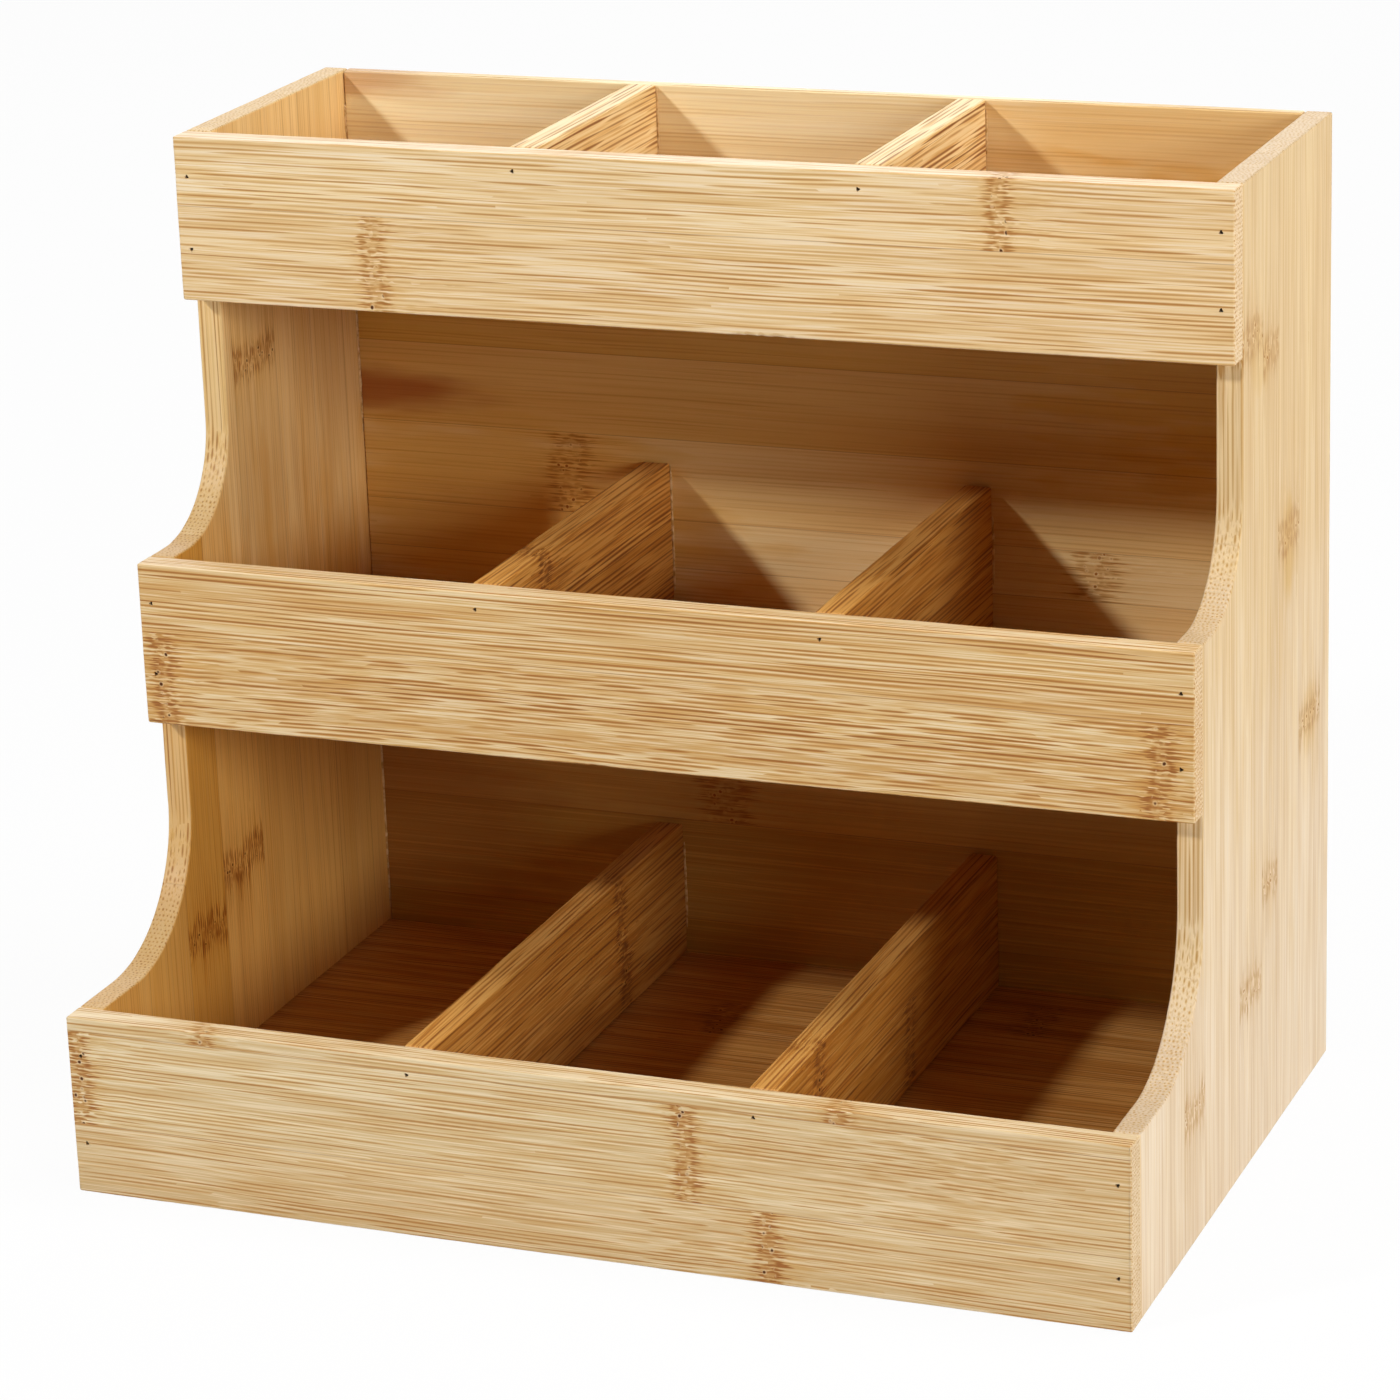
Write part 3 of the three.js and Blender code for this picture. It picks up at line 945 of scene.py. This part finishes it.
def sideOutline():
    low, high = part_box("side_right")
    tiers = [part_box("fascia_" + tier) for tier in fascias["boards"]]
    gap = low.y - tiers[0][1].y
    fronts = [box[1].y + gap for box in tiers]
    rims = [box[1].z for box in tiers]
    small = sides["cornerRadius"]
    lowerCove, upperCove = sides["coveRadii"]
    corners = [
        ((fronts[0], 0.0), small), ((high.y, 0.0), small), ((high.y, high.z), small),
        ((fronts[2], high.z), small), ((fronts[2], rims[1]), upperCove), ((fronts[1], rims[1]), small),
        ((fronts[1], rims[0]), lowerCove), ((fronts[0], rims[0]), small),
    ]
    return roundedOutline([(Vector(point), radius) for point, radius in corners], sides["step"])


def sideHoles(hand):
    # a groove for each floor and a hole for each brad
    slack = sides["grooveSlack"]
    columns = []
    for tier in fascias["boards"]:
        low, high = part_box("floor_" + tier)
        sideLow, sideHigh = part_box("side_" + hand)
        if hand == "right":
            groove = (sideLow.x - sides["grooveOvercut"], high.x)
        else:
            groove = (low.x, sideHigh.x + sides["grooveOvercut"])
        front = low.y - brads["overcut"]
        corners = [(front, low.z - slack), (high.y + slack, low.z - slack),
                   (high.y + slack, high.z + slack), (front, high.z + slack)]
        columns.append([[(x, y, z) for y, z in corners] for x in groove])
    for tier in fascias["boards"]:
        nodes = [node for node in bradNodes(tier, hand) if "divider" not in node]
        columns += pinHoles(nodes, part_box("fascia_" + tier)[1].y)
    return columns


def makeSides():
    outline = sideOutline()
    for hand, board in sides["boards"].items():
        makeBoard("side_" + hand, hand + "Side", sides, board, sideHoles(hand), outline)


# Back panel: thin board with fine lines running across. On its inner face the lower strips and several
# patches are painted darker and warmer: painted shade of the compartments.
backPanel = {
    "axes": "xzy",
    "grain": "xzy",
    "slot": "back_bamboo",
    "edge": {"arris": 0.5 * mm, "segments": 3, "wave": 16 * mm, "ripple": 4 * mm},
    "cornerRadius": 0.8 * mm,
    "step": 4 * mm,
    "finish": {
        "Pale": tint(255, 238, 192), "Deep": tint(248, 225, 172), "Line": tint(224, 184, 120),
        "Fibre": tint(150, 98, 44), "Pit": tint(176, 116, 54), "End grain": tint(214, 180, 132),
        "Rim pale": tint(254, 236, 198), "Contrast": 0.13, "Knot contrast": 0.42, "Strip contrast": 0.06,
        "Pitch": 0.6 * mm, "Spacing": 1.25 * mm, "Run": 80 * mm, "knuckleReach": 12 * mm,
    },
    "board": {
        "material": "backBamboo", "seed": 8, "edgeSeed": 4.2, "Warm": tint(226, 184, 94),
        "outer": ("y", 1.0, 0.35),
        "seams": [0.022, 0.0545, 0.0695, 0.095, 0.119, 0.135, 0.15, 0.175, 0.2, 0.224, 0.25],
        # inner face: lower strips painted warmer and darker, painted shade of the lower compartments
        "stripWarmthAndShade": [0.97, 0.92, 0.86, 0.9, 0.95, 0.5, 0.35, 0.6, 0.8, 0.95, 1.0, 0.0],
        "stripToneAndShade": [0.7, 0.73, 0.84, 0.82, 0.75, 1.0, 1.0, 1.0, 1.0, 0.96, 0.9, 1.0],
        "knuckles": [(-0.079, 0.15, 0.175), (-0.032, 0.0545, 0.0695), (0.087, 0.135, 0.15)],
        # patches painted darker and warmer: painted shade in the compartments
        "stainsAndShade": [((0.13, 0.27), (0.12, 0.06), 0.55), ((0.13, 0.215), (0.14, 0.08), 1.0),
                   ((-0.1, 0.15), (0.13, 0.07), 0.85)],
        # flames: a reddish mark in the middle tier, and painted corner shade by the left side, most of all
        # low down
        "flamesAndCornerShade": [((-0.148, 0.185), (0.055, 0.009), 1.0), ((-0.148, 0.2795), (0.045, 0.007), 0.6),
                   ((-0.15, 0.05), (0.085, 0.06), 0.62)],
    },
}


def makeBack():
    makeBoard("back_panel", "backPanel", backPanel, backPanel["board"])


# Dividers: grain from front to back, bold fibre dashes; deeper and more orange than the outer boards,
# partly painted shade of the compartments. The top ones are painted paler, painted light of the brighter
# top tier, and the bottom ones darker, painted shade of the bottom tier.
# paler colours for the top tier's dividers: painted light of the brighter top tier
paleForLitTier = {"Pale": tint(252, 222, 164), "Deep": tint(240, 204, 140), "Line": tint(212, 160, 88),
               "Rim pale": tint(250, 222, 170)}
dividers = {
    "axes": "yzx",
    "grain": "yzx",
    "slot": "divider_bamboo",
    "edge": {"arris": 0.7 * mm, "segments": 4, "wave": 12 * mm, "ripple": 3 * mm},
    "cornerRadius": 0.8 * mm,
    "step": 2.5 * mm,
    "finish": {
        "Pale": tint(227, 167, 82), "Deep": tint(207, 142, 58), "Line": tint(174, 108, 38),
        "Fibre": tint(112, 62, 24), "Pit": tint(66, 34, 12), "End grain": tint(210, 172, 122),
        "Rim pale": tint(220, 166, 92), "Contrast": 0.75, "Knot contrast": 0.75, "Strip contrast": 0.08,
        "Pitch": 0.65 * mm, "Spacing": 1.5 * mm, "Run": 36 * mm, "knuckleReach": 7 * mm,
    },
    "boards": {
        # bottom-tier dividers darker: painted shade of the bottom tier
        "bottom_left": {"seed": 11, "seams": [0.03],
                        "Pale": tint(210, 151, 73), "Deep": tint(192, 129, 50),
                        "knuckles": [(0.046, 0.011, 0.03), (0.044, 0.03, 0.053)]},
        "bottom_right": {"seed": 12, "seams": [0.038],
                         "Pale": tint(206, 145, 63), "Deep": tint(188, 124, 43),
                         "knuckles": [(-0.06, 0.038, 0.053), (0.014, 0.011, 0.038)]},
        "middle_left": {"seed": 13, "seams": [0.15], "knuckles": [(0.0, 0.15, 0.168)]},
        "middle_right": {"seed": 14, "seams": [0.145], "knuckles": []},
        "top_left": {"seed": 15, "seams": [0.262], "knuckles": [], **paleForLitTier},
        "top_right": {"seed": 16, "seams": [0.258], "knuckles": [], **paleForLitTier},
    },
}


def makeDividers():
    for place, board in dividers["boards"].items():
        node = "divider_" + place
        tier, hand = place.split("_")
        columns = pinHoles(bradNodes(tier, "divider", hand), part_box(node)[0].y)
        makeBoard(node, tier + hand.capitalize() + "Divider", dividers, board, columns)


# Floors: thin boards let into the sides, deeper and more orange than the outer boards: partly painted shade
# of the compartments.
floors = {
    "axes": "xyz",
    "grain": "xyz",
    "slot": "floor_bamboo",
    "edge": {"arris": 0.4 * mm, "segments": 3, "wave": 16 * mm, "ripple": 4 * mm},
    "cornerRadius": 0.8 * mm,
    "step": 5 * mm,
    "finish": {
        "Pale": tint(217, 161, 86), "Deep": tint(197, 137, 64), "Line": tint(160, 100, 38),
        "Fibre": tint(126, 74, 30), "Pit": tint(70, 38, 14), "End grain": tint(210, 172, 122),
        "Rim pale": tint(226, 184, 122), "Contrast": 0.5, "Knot contrast": 0.5, "Strip contrast": 0.06,
        "Pitch": 0.6 * mm, "Spacing": 1.3 * mm, "Run": 60 * mm, "knuckleReach": 8 * mm,
    },
    "boards": {
        "bottom": {"seed": 21, "seams": [-0.06, -0.036, -0.012, 0.012, 0.036, 0.06, 0.084],
                   "knuckles": [(-0.016, 0.036, 0.06), (0.075, 0.06, 0.084)]},
        "middle": {"seed": 22, "seams": [-0.01, 0.014, 0.038, 0.062, 0.086], "knuckles": []},
        "top": {"seed": 23, "seams": [0.03, 0.054, 0.078], "knuckles": []},
    },
}


def makeFloors():
    for tier, board in floors["boards"].items():
        makeBoard("floor_" + tier, tier + "Floor", floors, board)


def makePlain(name, look):
    # a material that shifts between two colours and two roughnesses in small patches
    material, tree, shader = newMaterial(name)
    spot = put(tree, "ShaderNodeTexCoord").outputs["Object"]
    patches = noiseOf(tree, stretched(tree, spot, (look["scale"],) * 3), look["detail"])
    colour = blendColours(tree, ease(tree, patches, *look["levels"]), *look["colours"])
    feed(tree, shader.inputs["Base Color"], colour)
    feed(tree, shader.inputs["Roughness"], ease(tree, patches, *look["roughness"]))
    shader.inputs["Metallic"].default_value = look["metallic"]
    return material


def finishTree(tree, geometry, material, result):
    real = put(tree, "GeometryNodeRealizeInstances", {"Geometry": geometry})
    feeds = {"Geometry": real.outputs[0], "Material": material}
    feed(tree, result, put(tree, "GeometryNodeSetMaterial", feeds).outputs[0])


def buildBradTree():
    tree = bpy.data.node_groups.new("bradSet", "GeometryNodeTree")
    addSockets(tree, "Geometry", "Places")
    addSockets(tree, "Float", "Head radius", "Head height", "Shank radius", "Length", "Point length")
    addSockets(tree, "Int", "Sides", "Seed")
    addSockets(tree, "Material", "Finish")
    addSockets(tree, "Geometry", "Brads", side="OUTPUT")
    given, made = ends(tree)

    def cone(start, length, near, far):
        # a round stretch of the pin, from its start along the pin's own axis
        feeds = {"Vertices": given["Sides"], "Radius Bottom": near, "Radius Top": far, "Depth": length}
        shape = put(tree, "GeometryNodeMeshCone", feeds, fill_type="NGON")
        feeds = {"Geometry": shape.outputs["Mesh"], "Translation": joined(tree, 0.0, 0.0, start)}
        return put(tree, "GeometryNodeTransform", feeds).outputs[0]

    headRadius, shankRadius = given["Head radius"], given["Shank radius"]
    crown = times(tree, given["Head height"], brads["crown"])
    face = times(tree, headRadius, brads["crownFace"])
    body = minus(tree, given["Head height"], crown)
    tip = minus(tree, given["Length"], given["Point length"])
    blunt = times(tree, shankRadius, brads["pointBlunt"])
    stem = minus(tree, tip, crown)
    stretches = [
        cone(0.0, crown, face, headRadius),
        cone(crown, body, headRadius, headRadius),
        cone(crown, stem, shankRadius, shankRadius),
        cone(tip, given["Point length"], shankRadius, blunt),
    ]
    pin = put(tree, "GeometryNodeMeshBoolean", operation="UNION", solver="EXACT")
    for stretch in stretches:
        tree.links.new(stretch, pin.inputs["Mesh 2"])
    spin = put(tree, "FunctionNodeRandomValue", data_type="FLOAT")
    feed(tree, spin.inputs[2], 0.0)
    feed(tree, spin.inputs[3], 2 * math.pi)
    feed(tree, spin.inputs["Seed"], given["Seed"])
    turn = joined(tree, -math.pi / 2, spin.outputs[1], 0.0)
    feeds = {"Points": given["Places"], "Instance": pin.outputs["Mesh"], "Rotation": turn}
    driven = put(tree, "GeometryNodeInstanceOnPoints", feeds)
    finishTree(tree, driven.outputs[0], given["Finish"], made["Brads"])
    return tree


def grow(name, points, edges, tree, values):
    # runs a node tree on points and edges with these inputs, and leaves its result as a plain mesh
    mesh = bpy.data.meshes.new(name)
    mesh.from_pydata(points, edges, [])
    piece = addObject(name, mesh)
    modifier = piece.modifiers.new(tree.name, "NODES")
    modifier.node_group = tree
    sockets = {item.name: item.identifier for item in tree.interface.items_tree if item.in_out == "INPUT"}
    for key, value in values.items():
        modifier[sockets[key]] = value
    flatten(piece)
    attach(piece, "root")
    return piece


def driveBrads():
    nodes = bradNodes()
    boxes = [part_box(node) for node in nodes]
    points = [((low.x + high.x) / 2, low.y, (low.z + high.z) / 2) for low, high in boxes]
    piece = grow("brads", points, [], buildBradTree(), {
        "Head radius": brads["headRadius"], "Head height": brads["headHeight"],
        "Shank radius": brads["shankRadius"], "Length": boxes[0][1].y - boxes[0][0].y,
        "Point length": brads["pointLength"], "Sides": brads["sides"], "Seed": brads["seed"],
        "Finish": makePlain("darkSteel", brads["look"]),
    })
    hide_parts(*nodes)


# Glue: whitish beads squeezed out where dividers and the left side meet the back panel.
glue = {
    "radius": 0.42 * mm,
    "least": 0.05 * mm,
    "unevenness": 1.1,
    "lumpLength": 4 * mm,
    "step": 0.8 * mm,
    "sides": 8,
    "taper": (-0.02, 0.1, 0.2, 1.0),  # how a bead thins to its ends, as ease takes it
    "beads": (  # a bead runs up a piece's right face, between these depths below the piece's top
        {"node": "divider_top_left", "from": 19 * mm, "to": 1 * mm},
        {"node": "divider_top_right", "from": 16 * mm, "to": 3 * mm},
        {"node": "divider_middle_left", "from": 40 * mm, "to": 1 * mm},
        {"node": "divider_middle_right", "from": 30 * mm, "to": 9 * mm},
        {"node": "divider_bottom_left", "from": 34 * mm, "to": 6 * mm},
        {"node": "side_left", "from": 19 * mm, "to": 10 * mm},
        {"node": "side_left", "from": 112 * mm, "to": 52 * mm},
        {"node": "side_left", "from": 268 * mm, "to": 166 * mm},
    ),
    "look": {"scale": 500.0, "detail": 2.0, "levels": (0.3, 0.7), "roughness": (0.2, 0.8, 0.2, 0.4),
             "metallic": 0.0, "colours": (tint(196, 152, 92), tint(232, 200, 146))},
}


def buildGlueTree():
    tree = bpy.data.node_groups.new("glueBeads", "GeometryNodeTree")
    addSockets(tree, "Geometry", "Corners")
    addSockets(tree, "Float", "Radius", "Unevenness", "Lump length", "Step")
    addSockets(tree, "Int", "Sides")
    addSockets(tree, "Material", "Finish")
    addSockets(tree, "Geometry", "Beads", side="OUTPUT")
    given, made = ends(tree)
    line = put(tree, "GeometryNodeMeshToCurve", {"Mesh": given["Corners"]})
    feeds = {"Curve": line.outputs[0], "Length": given["Step"]}
    fine = put(tree, "GeometryNodeResampleCurve", feeds, mode="LENGTH")
    spot = put(tree, "GeometryNodeInputPosition").outputs[0]
    pace = calc(tree, "DIVIDE", 1.0, given["Lump length"])
    lumps = put(tree, "ShaderNodeTexNoise", {"Vector": spot, "Scale": pace, "Detail": 2.0}).outputs[0]
    swell = times(tree, minus(tree, lumps, 0.5), 2.0)
    swell = times(tree, swell, given["Unevenness"])
    along = put(tree, "GeometryNodeSplineParameter").outputs["Factor"]
    taper = times(tree, along, minus(tree, 1.0, along))
    taper = ease(tree, taper, *glue["taper"])
    girth = times(tree, calc(tree, "ADD", swell, 1.0), times(tree, given["Radius"], taper))
    girth = most(tree, girth, glue["least"])
    feeds = {"Resolution": given["Sides"], "Radius": 1.0}
    ring = put(tree, "GeometryNodeCurvePrimitiveCircle", feeds, mode="RADIUS")
    feeds = {"Curve": fine.outputs[0], "Profile Curve": ring.outputs[0], "Scale": girth, "Fill Caps": True}
    tube = put(tree, "GeometryNodeCurveToMesh", feeds)
    smooth = put(tree, "GeometryNodeSetShadeSmooth", {"Geometry": tube.outputs[0]})
    finishTree(tree, smooth.outputs[0], given["Finish"], made["Beads"])
    return tree


def squeezeGlue():
    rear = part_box("back_panel")[0].y
    points = []
    for bead in glue["beads"]:
        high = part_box(bead["node"])[1]
        points += [(high.x, rear, high.z - bead["from"]), (high.x, rear, high.z - bead["to"])]
    edges = [(i, i + 1) for i in range(0, len(points), 2)]
    piece = grow("glueBeads", points, edges, buildGlueTree(), {
        "Radius": glue["radius"], "Unevenness": glue["unevenness"], "Lump length": glue["lumpLength"],
        "Step": glue["step"], "Sides": glue["sides"], "Finish": makePlain("driedGlue", glue["look"]),
    })


makeFascias()
makeSides()
makeBack()
makeDividers()
makeFloors()
print("boards laid")
driveBrads()
squeezeGlue()
print("brads driven, glue squeezed out")
